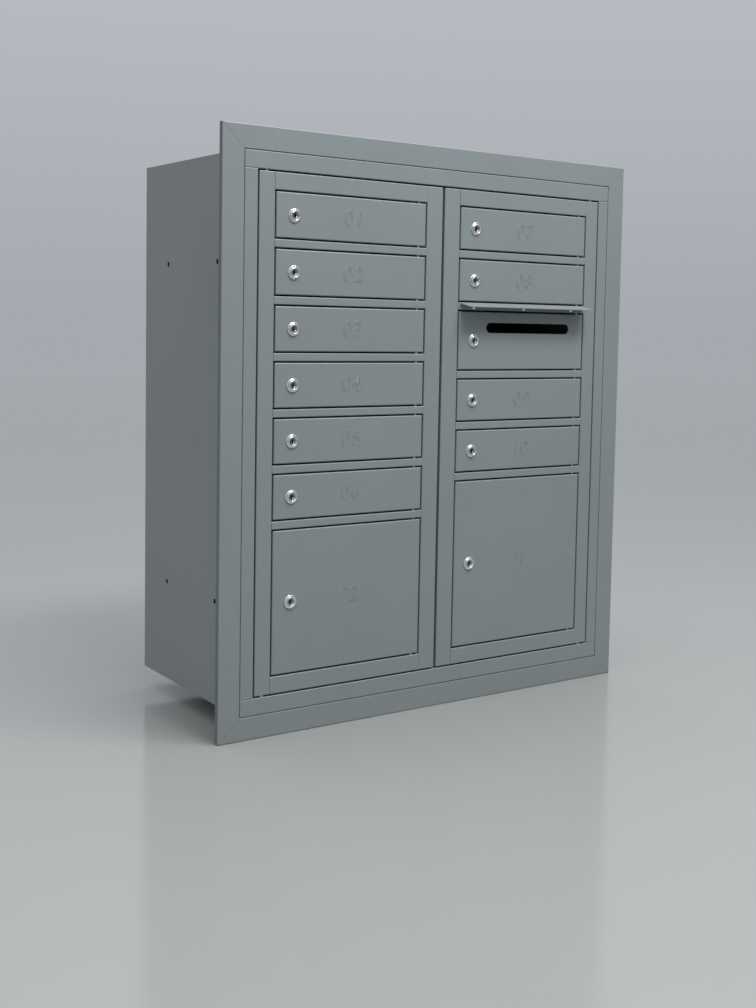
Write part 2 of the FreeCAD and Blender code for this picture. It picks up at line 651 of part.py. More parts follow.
def main():
    os.makedirs("parts", exist_ok=True)
    left_side, right_side = both_sides(side_panel())
    save("left_side_panel", [left_side])
    save("right_side_panel", [right_side])
    save("top_panel", [top_panel()])
    save("bottom_panel", [bottom_panel()])
    save("back_panel", [block(-SIDE, SIDE, REAR_Y - CARCASS_SHEET, REAR_Y, 0, CARCASS_HEIGHT)])
    save("centre_divider", [centre_divider()])
    wall, divider = SIDE - CARCASS_SHEET, DIVIDER_SHEET / 2
    save("compartment_shelves", shelves(LEFT_DOORS, -wall, -divider)
         + shelves(RIGHT_DOORS, divider, wall))
    for name, bar in trim_pieces().items():
        save(name, [bar])
    save("surround_frame", surround_frame())
    save("master_hinge_pins", master_hinge_pins())
    save("left_master_frame", left_master_frame())
    save("right_master_frame", right_master_frame())
    save("left_door_pins", door_pins(LEFT_DOORS))
    save("right_door_pins", door_pins(RIGHT_DOORS))
    save("left_master_latch", [master_latch(-1)])
    save("right_master_latch", [master_latch(1)])
    save("mail_hood", [mail_hood()])
    save("hood_rivets", hood_rivets())
    for door in LEFT_DOORS + RIGHT_DOORS:
        save("door_" + door.tag, [door_panel(door)])
        save("lock_" + door.tag + "_body", lock_body(door))
        save("lock_" + door.tag + "_plug", lock_plug(door))


main()
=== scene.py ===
"""Looks of a recessed parcel locker: powder-coated sheet metal, nickel cam locks and zinc hardware.

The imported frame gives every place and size. Each sub-assembly is a class that builds or dresses its
own pieces, each finish is a frozen dataclass, and main() puts them together in order. Lengths are
in metres unless a name ends in _mm. Y runs from the room into the wall, and Z runs up.
"""
from __future__ import annotations

import json
import logging
import math
from dataclasses import dataclass, field
from enum import Enum
from typing import Callable, Sequence

import bmesh
import bpy
from mathutils import Matrix, Vector

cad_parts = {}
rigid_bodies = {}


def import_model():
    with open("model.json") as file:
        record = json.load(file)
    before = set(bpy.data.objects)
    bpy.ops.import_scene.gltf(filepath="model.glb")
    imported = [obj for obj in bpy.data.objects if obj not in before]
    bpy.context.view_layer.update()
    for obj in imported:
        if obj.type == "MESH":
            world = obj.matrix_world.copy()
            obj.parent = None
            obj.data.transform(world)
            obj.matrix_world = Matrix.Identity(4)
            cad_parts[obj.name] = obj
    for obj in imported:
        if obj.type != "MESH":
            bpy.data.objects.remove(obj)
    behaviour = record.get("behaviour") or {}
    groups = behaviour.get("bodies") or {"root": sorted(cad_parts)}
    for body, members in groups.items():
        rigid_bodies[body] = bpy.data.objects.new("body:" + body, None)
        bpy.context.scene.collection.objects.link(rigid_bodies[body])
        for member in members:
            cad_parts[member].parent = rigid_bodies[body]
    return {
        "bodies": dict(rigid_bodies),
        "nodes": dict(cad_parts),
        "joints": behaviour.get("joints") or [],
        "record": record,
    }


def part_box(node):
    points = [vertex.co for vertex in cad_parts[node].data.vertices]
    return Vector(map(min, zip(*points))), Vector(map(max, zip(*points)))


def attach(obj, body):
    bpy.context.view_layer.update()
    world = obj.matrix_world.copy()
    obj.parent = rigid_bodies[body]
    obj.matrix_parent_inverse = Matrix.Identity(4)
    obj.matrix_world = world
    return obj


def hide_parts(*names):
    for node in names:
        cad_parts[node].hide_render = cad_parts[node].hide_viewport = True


LOG = logging.getLogger("parcel_locker")
MM = 0.001
MERGE_DISTANCE = 1e-7
CAPITAL_SHARE = 0.71                 # height of a capital or digit over the typeface's size
Point = tuple[float, float]
Band = tuple[float, float]
Triple = tuple[float, float, float]
Colour = Triple
FRONT_GREY: Colour = (0.186, 0.208, 0.210)
BOX_GREY: Colour = (0.190, 0.204, 0.202)


class Slot(Enum):
    """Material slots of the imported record."""

    POWDER_COAT = "powder_coat"
    LOCK_NICKEL = "lock_nickel"
    PLUG_NICKEL = "plug_nickel"
    ZINC_STEEL = "zinc_steel"


class Axis(Enum):
    """Which way a round detail points, as the turn that brings +Z onto it."""

    FRONT = (math.radians(90), 0.0, 0.0)
    REAR = (math.radians(-90), 0.0, 0.0)


# Node trees -----------------------------------------------------------------------------------
class Signal:
    """A node's output socket that adds Math nodes when it is used in an expression."""

    def __init__(self, graph: "Graph", socket: bpy.types.NodeSocket) -> None:
        """Wrap a socket of a graph."""
        self.graph = graph
        self.socket = socket

    def _math(self, operation: str, first: object, second: object) -> "Signal":
        """One Math node on two values."""
        return self.graph.node("ShaderNodeMath", {"operation": operation}, {0: first, 1: second})

    def __add__(self, other: object) -> "Signal":
        """self + other."""
        return self._math("ADD", self, other)

    def __radd__(self, other: object) -> "Signal":
        """other + self."""
        return self._math("ADD", other, self)

    def __sub__(self, other: object) -> "Signal":
        """self - other."""
        return self._math("SUBTRACT", self, other)

    def __rsub__(self, other: object) -> "Signal":
        """other - self."""
        return self._math("SUBTRACT", other, self)

    def __mul__(self, other: object) -> "Signal":
        """self * other."""
        return self._math("MULTIPLY", self, other)

    def __rmul__(self, other: object) -> "Signal":
        """other * self."""
        return self._math("MULTIPLY", other, self)

    def at_least(self, least: float) -> "Signal":
        """self, or the least value where self is lower."""
        return self._math("MAXIMUM", self, least)


class Graph:
    """Builds the nodes of one tree, for a material, for the surroundings or for geometry."""

    def __init__(self, tree: bpy.types.NodeTree) -> None:
        """Start on an emptied tree."""
        self.tree = tree
        tree.nodes.clear()

    def feed(self, socket: bpy.types.NodeSocket, value: object) -> None:
        """Link a signal to a socket, or set the socket's own value.

        Args:
            socket: the input to feed.
            value: a signal, or a plain value.
        """
        if isinstance(value, Signal):
            self.tree.links.new(value.socket, socket)
        else:
            socket.default_value = value

    def node(self, kind: str, settings: dict[str, object] | None = None,
             inputs: dict[str | int, object] | None = None, output: str | int = 0) -> Signal:
        """Add a node.

        Args:
            kind: the node's type.
            settings: properties that are set first.
            inputs: socket name or number to a value or a signal.
            output: name or number of the socket that is returned.

        Returns:
            The chosen output, or the first input of a node that has no output.
        """
        made = self.tree.nodes.new(kind)
        for name, value in (settings or {}).items():
            setattr(made, name, value)
        for name, value in (inputs or {}).items():
            self.feed(made.inputs[name], value)
        return Signal(self, made.outputs[output] if made.outputs else made.inputs[0])

    def split(self, vector: Signal) -> list[Signal]:
        """The X, Y and Z of a vector."""
        parts = self.node("ShaderNodeSeparateXYZ", {}, {0: vector})
        return [Signal(self, socket) for socket in parts.socket.node.outputs]

    def spread(self, value: Signal, band: Band, onto: Band = (0.0, 1.0),
               easing: str = "LINEAR") -> Signal:
        """Spread a band of values over a range, and clip what is outside.

        Args:
            value: the signal to spread.
            band: its lowest and highest value that count.
            onto: what they become.
            easing: the Map Range node's interpolation.

        Returns:
            The spread signal.
        """
        return self.node("ShaderNodeMapRange", {"clamp": True, "interpolation_type": easing}, {
            "Value": value, "From Min": band[0], "From Max": band[1],
            "To Min": onto[0], "To Max": onto[1]})


class ShaderGraph(Graph):
    """The tree of one material, with the few patterns that the finishes share."""

    def __init__(self, material: bpy.types.Material) -> None:
        """Start the tree with a Principled shader on the output.

        Args:
            material: the material whose tree it is.
        """
        material.use_nodes = True
        super().__init__(material.node_tree)
        self.shader = self.tree.nodes.new("ShaderNodeBsdfPrincipled")
        out = self.tree.nodes.new("ShaderNodeOutputMaterial")
        self.tree.links.new(self.shader.outputs[0], out.inputs["Surface"])
        self.place = self.node("ShaderNodeTexCoord", output="Object")

    def noise(self, size: float, detail: float = 2.0, roughness: float = 0.5,
              stretch: Triple = (1.0, 1.0, 1.0)) -> Signal:
        """Cloudy noise on Object coordinates.

        Args:
            size: rough size of its features, in metres.
            detail: octaves of finer noise.
            roughness: how strong the finer noise is.
            stretch: factors on X, Y and Z; below 1 draws the features out.

        Returns:
            The noise, from 0 to 1.
        """
        place = self.node("ShaderNodeMapping", {}, {"Vector": self.place, "Scale": stretch})
        return self.node("ShaderNodeTexNoise", {}, {
            "Vector": place, "Scale": 1 / size, "Detail": detail, "Roughness": roughness})

    def mix(self, factor: object, first: object, second: object) -> Signal:
        """Mix two colours.

        Args:
            factor: 0 for the first colour, 1 for the second.
            first: a signal, or a plain triple.
            second: a signal, or a plain triple.

        Returns:
            The mixed colour.
        """
        sides = [(*c, 1.0) if isinstance(c, tuple) else c for c in (first, second)]
        return self.node("ShaderNodeMix", {"data_type": "RGBA"},
                         {0: factor, 6: sides[0], 7: sides[1]}, output=2)

    def behind(self, plane: float, blur: float) -> Signal:
        """0 in front of the plane Y = plane, and 1 from blur metres behind it."""
        return self.spread(self.split(self.place)[1], (plane, plane + blur))

    def bump(self, height: Signal, depth: float) -> Signal:
        """Normal of a surface whose relief is height times depth metres."""
        return self.node("ShaderNodeBump", {}, {"Height": height, "Strength": 1.0,
                                                 "Distance": depth})

    def finish(self, **sockets: object) -> None:
        """Set the Principled shader's sockets.

        Args:
            sockets: socket name to value or signal, with underscores for spaces.
        """
        for name, value in sockets.items():
            socket = self.shader.inputs[name.replace("_", " ")]
            self.feed(socket, value)


class GeometryGraph(Graph):
    """A Geometry Nodes tree with named inputs, ended by Realize Instances and Set Material."""

    def __init__(self, name: str, inputs: dict[str, float | int]) -> None:
        """Make the group and its interface.

        Args:
            name: the tree's name.
            inputs: input name to its default, a float for a length and an int for a count.
        """
        tree = bpy.data.node_groups.new(name, "GeometryNodeTree")
        super().__init__(tree)
        tree.interface.new_socket("Geometry", in_out="OUTPUT", socket_type="NodeSocketGeometry")
        tree.interface.new_socket("Geometry", in_out="INPUT", socket_type="NodeSocketGeometry")
        for label, default in inputs.items():
            kind = "NodeSocketInt" if isinstance(default, int) else "NodeSocketFloat"
            socket = tree.interface.new_socket(label, in_out="INPUT", socket_type=kind)
            socket.default_value = default
        self.entry = tree.nodes.new("NodeGroupInput")

    def given(self, label: str) -> Signal:
        """The group's input of that name."""
        return Signal(self, self.entry.outputs[label])

    def on_points(self, detail: Signal, axis: Axis, material: bpy.types.Material) -> None:
        """End the tree: a detail on every point that goes in, realized and with its material.

        Args:
            detail: geometry of one detail, about the origin and along +Z.
            axis: which way the details point.
            material: their finish.
        """
        turned = self.node("GeometryNodeTransform", {}, {"Geometry": detail,
                                                         "Rotation": axis.value})
        many = self.node("GeometryNodeInstanceOnPoints", {}, {"Points": self.given("Geometry"),
                                                              "Instance": turned})
        real = self.node("GeometryNodeRealizeInstances", {}, {"Geometry": many})
        dressed = self.node("GeometryNodeSetMaterial", {}, {"Geometry": real,
                                                            "Material": material})
        self.node("NodeGroupOutput", {}, {"Geometry": dressed})

    def run(self, name: str, base: bpy.types.Mesh,
            values: dict[str, float | int]) -> bpy.types.Object:
        """Run the tree on a mesh.

        Args:
            name: the new object's name.
            base: mesh that goes into the tree.
            values: input name to its value.

        Returns:
            A plain object that holds the result, with no modifier left.
        """
        made = link(name, base)
        modifier = made.modifiers.new("tree", "NODES")
        modifier.node_group = self.tree
        for item in self.tree.interface.items_tree:
            if item.item_type == "SOCKET" and item.in_out == "INPUT" and item.name in values:
                modifier[item.identifier] = values[item.name]
        freeze(made)
        return made


# Meshes ---------------------------------------------------------------------------------------
def link(name: str, data: bpy.types.Mesh | bpy.types.Curve) -> bpy.types.Object:
    """Make an object at the origin.

    Args:
        name: the object's name.
        data: its mesh or curve.

    Returns:
        The object, in the scene.
    """
    made = bpy.data.objects.new(name, data)
    bpy.context.scene.collection.objects.link(made)
    return made


def evaluated(piece: bpy.types.Object) -> bpy.types.Mesh:
    """A plain mesh of an object's evaluated shape."""
    graph = bpy.context.evaluated_depsgraph_get()
    return bpy.data.meshes.new_from_object(piece.evaluated_get(graph), depsgraph=graph)


def freeze(piece: bpy.types.Object) -> None:
    """Turn an object's evaluated shape into its own plain mesh and drop its modifiers.

    Args:
        piece: the object.
    """
    mesh = evaluated(piece)
    mesh.name = piece.name
    piece.modifiers.clear()
    piece.data = mesh


def modified(mesh: bpy.types.Mesh, kind: str, settings: dict[str, object]) -> bpy.types.Mesh:
    """Apply one modifier to a mesh.

    Args:
        mesh: the mesh that goes in.
        kind: the modifier's type.
        settings: its properties, in the order in which they are set.

    Returns:
        The mesh that comes out.
    """
    body = link(mesh.name, mesh)
    modifier = body.modifiers.new(kind, kind)
    for name, value in settings.items():
        setattr(modifier, name, value)
    freeze(body)
    result = body.data
    bpy.data.objects.remove(body)
    return result


def carved(blank: bpy.types.Mesh, cutter: bpy.types.Mesh) -> bpy.types.Mesh:
    """Cut one closed mesh out of another.

    Args:
        blank: the mesh to cut.
        cutter: what is cut away; the cut's walls take its material.

    Returns:
        The cut mesh.
    """
    tool = link(cutter.name, cutter)
    result = modified(blank, "BOOLEAN", {"operation": "DIFFERENCE", "solver": "EXACT",
                                         "object": tool, "material_mode": "TRANSFER"})
    bpy.data.objects.remove(tool)
    return result


def points_mesh(name: str, points: Sequence[Vector]) -> bpy.types.Mesh:
    """Make loose points for a tree to work on.

    Args:
        name: the mesh's name.
        points: their places.

    Returns:
        A mesh of vertices alone.
    """
    mesh = bpy.data.meshes.new(name)
    mesh.from_pydata([tuple(p) for p in points], [], [])
    return mesh


def arc(centre: Point, radius: float, start_deg: float, end_deg: float, steps: int) -> list[Point]:
    """Points along an arc, both ends included."""
    turns = [math.radians(start_deg + (end_deg - start_deg) * k / steps) for k in range(steps + 1)]
    return [(centre[0] + radius * math.cos(t), centre[1] + radius * math.sin(t)) for t in turns]


@dataclass
class Shell:
    """Vertices and faces in millimetres, gathered until they become a mesh.

    Turned shapes stand about the line through x = 0, z = 0 along Y.
    """

    points: list[Triple] = field(default_factory=list)
    faces: list[tuple[int, ...]] = field(default_factory=list)
    finishes: list[int] = field(default_factory=list)

    def _face(self, corners: Sequence[int], finish: int) -> None:
        """Add one face with a material number."""
        self.faces.append(tuple(corners))
        self.finishes.append(finish)

    def turned(self, profile: Sequence[Point], segments: int, finish: int = 0,
               shape: Callable[[float, float, float], float] | None = None,
               open_start: bool = False, open_end: bool = False) -> None:
        """Revolve a profile; an end on the axis makes a pole, and a ring profile closes on itself.

        Args:
            profile: (radius, y) points.
            segments: number of steps round.
            finish: material number.
            shape: radius, y and angle to a changed radius, for a shape that isn't round.
            open_start: the first point is a free edge that another profile continues.
            open_end: the last point is a free edge that another profile continues.
        """
        start = len(self.points)
        first_pole, last_pole = profile[0][0] == 0.0, profile[-1][0] == 0.0
        rings = profile[int(first_pole):len(profile) - int(last_pole)]
        for radius, y in rings:
            for k in range(segments):
                angle = 2 * math.pi * k / segments
                size = shape(radius, y, angle) if shape else radius
                self.points.append((size * math.cos(angle), y, size * math.sin(angle)))
        count = len(rings)
        closed = not (first_pole or last_pole or open_start or open_end)
        for i in range(count if closed else count - 1):
            for k in range(segments):
                a = start + i * segments + k
                b = start + i * segments + (k + 1) % segments
                c = start + (i + 1) % count * segments + (k + 1) % segments
                d = start + (i + 1) % count * segments + k
                self._face((a, b, c, d), finish)
        for is_pole, ring, y in ((first_pole, 0, profile[0][1]),
                                 (last_pole, count - 1, profile[-1][1])):
            if is_pole:
                pole = len(self.points)
                self.points.append((0.0, y, 0.0))
                base = start + ring * segments
                for k in range(segments):
                    self._face((pole, base + (k + 1) % segments, base + k), finish)

    def prism(self, outline: Sequence[Point], front: float, back: float) -> None:
        """Extrude a closed outline along Y, in material 0.

        Args:
            outline: (x, z) points.
            front: y where it starts.
            back: y where it ends.
        """
        start, count = len(self.points), len(outline)
        for y in (front, back):
            self.points += [(x, y, z) for x, z in outline]
        self._face([start + k for k in range(count)], 0)
        self._face([start + count + k for k in reversed(range(count))], 0)
        for k in range(count):
            after = (k + 1) % count
            self._face((start + k, start + count + k, start + count + after, start + after), 0)

    def mesh(self, name: str, materials: Sequence[bpy.types.Material],
             smooth_deg: float) -> bpy.types.Mesh:
        """Make the mesh in metres, merged and facing outwards.

        Args:
            name: the mesh's name.
            materials: one for each material number.
            smooth_deg: edges that bend less than this are shaded smooth.

        Returns:
            The mesh.
        """
        made = bpy.data.meshes.new(name)
        made.from_pydata([tuple(MM * c for c in p) for p in self.points], [], self.faces)
        for material in materials:
            made.materials.append(material)
        made.polygons.foreach_set("material_index", self.finishes)
        work = bmesh.new()
        work.from_mesh(made)
        bmesh.ops.remove_doubles(work, verts=work.verts, dist=MERGE_DISTANCE)
        bmesh.ops.recalc_face_normals(work, faces=work.faces)
        for face in work.faces:
            face.smooth = True
        for edge in work.edges:
            edge.smooth = edge.calc_face_angle(0.0) < math.radians(smooth_deg)
        work.to_mesh(made)
        work.free()
        return made


# Finishes -------------------------------------------------------------------------------------
@dataclass(frozen=True)
class PowderCoat:
    """Fine satin powder coat on folded sheet."""

    name: str
    colour: Colour
    gloss: float = 0.36              # roughness of a clean patch
    gloss_spread: float = 0.10       # how far the mottle changes it
    tone_spread: float = 0.05
    tone_band: Band = (0.3, 0.7)     # noise of the darkest and of the lightest coat
    drift_size: float = 220 * MM
    drift_share: float = 0.65        # of the tone; the mottle has the rest
    mottle_size: float = 14 * MM
    cool_size: float = 160 * MM      # patches of a slightly cooler grey
    cool_stretch: Triple = (1.3, 1.0, 0.8)
    cool_band: Band = (0.35, 0.65)
    cool_cast: Triple = (0.965, 1.0, 1.03)
    cool_share: float = 0.45
    speck_size: float = 0.9 * MM     # dull dark specks
    speck_band: Band = (0.66, 0.74)
    speck_tone: float = 0.8
    speck_share: float = 0.12
    speck_gloss: float = 0.05
    peel_size: float = 1.1 * MM      # orange peel
    peel_depth: float = 0.012 * MM
    wave_size: float = 90 * MM       # slight waves of thin sheet
    wave_depth: float = 0.05 * MM
    face: float | None = None        # Y of a folded bar's face; its legs behind it get painted shade, a darker tone of the coat
    face_depth: float = 0.2 * MM     # how far back the face's own coat reaches
    bend: float = 1.3 * MM
    # tone of the painted shade on the legs
    leg_shade_tone: float = 0.52

    def _toned(self, tone: float) -> Colour:
        """The coat's colour times a tone."""
        return tuple(c * tone for c in self.colour)

    def material(self) -> bpy.types.Material:
        """Build the material: drifting tone, specks, orange peel, waves and painted shade on legs.

        Returns:
            The material.
        """
        made = bpy.data.materials.new(self.name)
        graph = ShaderGraph(made)
        drift = graph.noise(self.drift_size, detail=3.0)
        mottle = graph.noise(self.mottle_size, detail=4.0, roughness=0.6)
        tone = drift * self.drift_share + mottle * (1 - self.drift_share)
        coat = graph.mix(graph.spread(tone, self.tone_band), self._toned(1 - self.tone_spread),
                         self._toned(1 + self.tone_spread))
        cool = graph.spread(graph.noise(self.cool_size, stretch=self.cool_stretch), self.cool_band)
        coat = graph.mix(cool * self.cool_share, coat,
                         tuple(c * k for c, k in zip(self.colour, self.cool_cast)))
        speck = graph.spread(graph.noise(self.speck_size, detail=1.0), self.speck_band)
        coat = graph.mix(speck * self.speck_share, coat, self._toned(self.speck_tone))
        # painted shade: the legs behind the face are darkened as if turned from the light
        if self.face is not None:
            legs = graph.behind(self.face + self.face_depth, self.bend)
            coat = graph.mix(legs, coat, self._toned(self.leg_shade_tone))
        peel = graph.noise(self.peel_size)
        waves = graph.noise(self.wave_size, detail=1.0)
        relief = peel * (self.peel_depth / MM) + waves * (self.wave_depth / MM)
        rough = self.gloss + self.gloss_spread * (mottle - 0.5) + speck * self.speck_gloss
        graph.finish(Base_Color=coat, Roughness=rough, Normal=graph.bump(relief, MM),
                     Specular_IOR_Level=0.5)
        return made


@dataclass(frozen=True)
class PlatedMetal:
    """Nickel or zinc plate with fine handling marks."""

    name: str
    colour: Colour
    roughness: float
    tarnish: Colour | None = None    # None for a darker shade of the colour itself
    shade: float = 0.86
    cloud_size: float = 4 * MM
    cloud_band: Band = (0.4, 0.75)
    cloud_gloss: float = 0.06
    scratch_size: float = 0.5 * MM
    scratch_stretch: Triple = (1.0, 1.0, 0.12)
    scratch_depth: float = 0.004 * MM
    scratch_gloss: float = 0.04

    def material(self) -> bpy.types.Material:
        """Build the material: cloudy plate, faint scratches and a hint of tarnish.

        Returns:
            The material.
        """
        made = bpy.data.materials.new(self.name)
        graph = ShaderGraph(made)
        cloud = graph.noise(self.cloud_size, detail=3.0)
        scratches = graph.noise(self.scratch_size, stretch=self.scratch_stretch)
        second = self.tarnish or tuple(c * self.shade for c in self.colour)
        rough = self.roughness + self.cloud_gloss * (cloud - 0.5) + scratches * self.scratch_gloss
        plate = graph.mix(graph.spread(cloud, self.cloud_band), self.colour, second)
        graph.finish(Base_Color=plate, Metallic=1.0, Roughness=rough,
                     Normal=graph.bump(scratches, self.scratch_depth))
        return made


@dataclass(frozen=True)
class PaintedKeywayShade:
    """Painted shade inside a keyway: a near-black colour."""

    name: str = "keyway_painted_shade"
    # near-black painted shade
    colour: Colour = (0.004, 0.004, 0.004)
    # slightly lighter painted shade where the noise is high
    shade_mottle_colour: Colour = (0.012, 0.011, 0.010)
    shade_mottle_size: float = 1.5 * MM
    roughness: float = 0.35
    shade_mottle_gloss_spread: float = 0.3

    def material(self) -> bpy.types.Material:
        """Build the material: near-black painted shade with slight noise in tone and roughness.

        Returns:
            The material.
        """
        made = bpy.data.materials.new(self.name)
        graph = ShaderGraph(made)
        shade_mottle = graph.noise(self.shade_mottle_size)
        graph.finish(Base_Color=graph.mix(shade_mottle, self.colour, self.shade_mottle_colour),
                     Roughness=self.roughness + self.shade_mottle_gloss_spread * shade_mottle)
        return made


@dataclass(frozen=True)
class StudioFloor:
    """Pale polished floor."""

    name: str = "studio_floor"
    colour: Colour = (0.245, 0.254, 0.241)
    cloud_size: float = 0.7
    cloud_tone: float = 0.97
    roughness: float = 0.11
    cloud_gloss: float = 0.05

    def material(self) -> bpy.types.Material:
        """Build the material: a plain pale floor with a soft sheen.

        Returns:
            The material.
        """
        made = bpy.data.materials.new(self.name)
        graph = ShaderGraph(made)
        cloud = graph.noise(self.cloud_size, detail=3.0)
        soft = graph.mix(cloud, tuple(self.cloud_tone * c for c in self.colour), self.colour)
        graph.finish(Base_Color=soft, Roughness=self.roughness + self.cloud_gloss * cloud)
        return made


@dataclass
class Finishes:
    """Every finish of the locker, built once."""

    trim_face: float                 # Y of the trim's face
    trim_coat: bpy.types.Material = field(init=False)
    front_coat: bpy.types.Material = field(init=False)
    box_coat: bpy.types.Material = field(init=False)
    nickel: bpy.types.Material = field(init=False)
    satin_nickel: bpy.types.Material = field(init=False)
    dull_nickel_painted_shade: bpy.types.Material = field(init=False)
    zinc: bpy.types.Material = field(init=False)
    keyway: bpy.types.Material = field(init=False)

    def __post_init__(self) -> None:
        """Build the materials."""
        self.front_coat = PowderCoat("grey_powder_coat", FRONT_GREY).material()
        # the trim's coat darkens its legs with painted shade
        self.trim_coat = PowderCoat("grey_trim_coat_painted_leg_shade", FRONT_GREY, face=self.trim_face).material()
        self.box_coat = PowderCoat("grey_box_coat", BOX_GREY, gloss=0.46,
                                   wave_depth=0.12 * MM).material()
        self.nickel = PlatedMetal("bright_nickel", (0.92, 0.925, 0.92), 0.09).material()
        self.satin_nickel = PlatedMetal("satin_nickel", (0.62, 0.625, 0.62), 0.24).material()
        # the plug's dished face: a rougher plate, its colour darkened to 0.20 as painted shade of the
        # recess
        self.dull_nickel_painted_shade = PlatedMetal("dull_nickel_painted_shade", (0.20, 0.20, 0.195), 0.34).material()
        self.zinc = PlatedMetal("zinc_plate", (0.56, 0.58, 0.60), 0.32,
                                tarnish=(0.56, 0.54, 0.47)).material()
        # near-black painted shade for the keyway's walls
        self.keyway = PaintedKeywayShade().material()


# Geometry trees -------------------------------------------------------------------------------
def dome_tree(name: str, axis: Axis, material: bpy.types.Material) -> GeometryGraph:
    """Build a tree that sets a flat-bottomed dome on every point.

    Args:
        name: the tree's name.
        axis: which way the domes point.
        material: finish of the domes.

    Returns:
        The tree, with inputs Radius, Height, Segments and Rings.
    """
    graph = GeometryGraph(name, {"Radius": 1.0, "Height": 1.0, "Segments": 16, "Rings": 8})
    radius, height = graph.given("Radius"), graph.given("Height")
    ball = graph.node("GeometryNodeMeshUVSphere", {}, {
        "Segments": graph.given("Segments"), "Rings": graph.given("Rings"), "Radius": 1.0})
    x, y, z = graph.split(graph.node("GeometryNodeInputPosition"))
    moved = graph.node("ShaderNodeCombineXYZ", {}, {
        0: x * radius, 1: y * radius, 2: z.at_least(0.0) * height})
    dome = graph.node("GeometryNodeSetPosition", {}, {"Geometry": ball, "Position": moved})
    graph.on_points(dome, axis, material)
    return graph


def thread_tree(material: bpy.types.Material) -> GeometryGraph:
    """Build a tree that winds a thread's ridge about Y, behind every point that goes in.

    Args:
        material: finish of the ridge.

    Returns:
        The tree, with inputs Radius, Length, Turns and Ridge.
    """
    graph = GeometryGraph("thread", {"Radius": 1.0, "Length": 1.0, "Turns": 10.0, "Ridge": 1.0})
    radius = graph.given("Radius")
    path = graph.node("GeometryNodeCurveSpiral", {}, {
        "Resolution": 36, "Rotations": graph.given("Turns"), "Start Radius": radius,
        "End Radius": radius, "Height": graph.given("Length")})
    section = graph.node("GeometryNodeCurvePrimitiveCircle", {"mode": "RADIUS"}, {
        "Resolution": 4, "Radius": graph.given("Ridge")})
    ridge = graph.node("GeometryNodeCurveToMesh", {}, {"Curve": path, "Profile Curve": section,
                                                       "Fill Caps": True})
    graph.on_points(ridge, Axis.REAR, material)
    return graph


# Sub-assemblies -------------------------------------------------------------------------------
@dataclass
class Locker:
    """What the frame says: its nodes, and the tags of its doors."""

    frame: dict
    tags: list[str] = field(init=False)

    def __post_init__(self) -> None:
        """Read the door tags from the node names."""
        self.tags = sorted(n[len("door_"):] for n in self.frame["nodes"] if n.startswith("door_"))

    def dress(self, node: str, material: bpy.types.Material, slot: Slot) -> bpy.types.Object:
        """Give a CAD node its finish.

        Args:
            node: the node's name.
            material: the finish.
            slot: the record's slot that it stands for; not used.

        Returns:
            The node's object.
        """
        piece = self.frame["nodes"][node]
        for place in piece.material_slots:
            place.material = material
        return piece

    @staticmethod
    def span(node: str) -> tuple[Vector, Vector]:
        """Lowest and highest corner of a node."""
        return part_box(node)


@dataclass
class SheetMetal:
    """The carcass, trim, surround, master frames, hood and doors, as the frame has them."""

    locker: Locker
    finishes: Finishes
    box_nodes: tuple[str, ...] = ("left_side_panel", "right_side_panel", "top_panel",
                                  "bottom_panel", "centre_divider", "compartment_shelves")
    trim_nodes: tuple[str, ...] = ("trim_bottom", "trim_left", "trim_top", "trim_right")
    front_nodes: tuple[str, ...] = ("surround_frame", "left_master_frame", "right_master_frame",
                                    "mail_hood")
    hardware: tuple[str, ...] = ("master_hinge_pins", "left_door_pins", "right_door_pins",
                                 "left_master_latch", "right_master_latch")

    def build(self) -> list[bpy.types.Object]:
        """Dress every carried-over node.

        Returns:
            The dressed nodes.
        """
        doors = tuple("door_" + tag for tag in self.locker.tags)
        groups = ((self.box_nodes, self.finishes.box_coat, Slot.POWDER_COAT),
                  (self.trim_nodes, self.finishes.trim_coat, Slot.POWDER_COAT),
                  (self.front_nodes + doors, self.finishes.front_coat, Slot.POWDER_COAT),
                  (self.hardware, self.finishes.zinc, Slot.ZINC_STEEL))
        return [self.locker.dress(node, material, slot)
                for nodes, material, slot in groups for node in nodes]


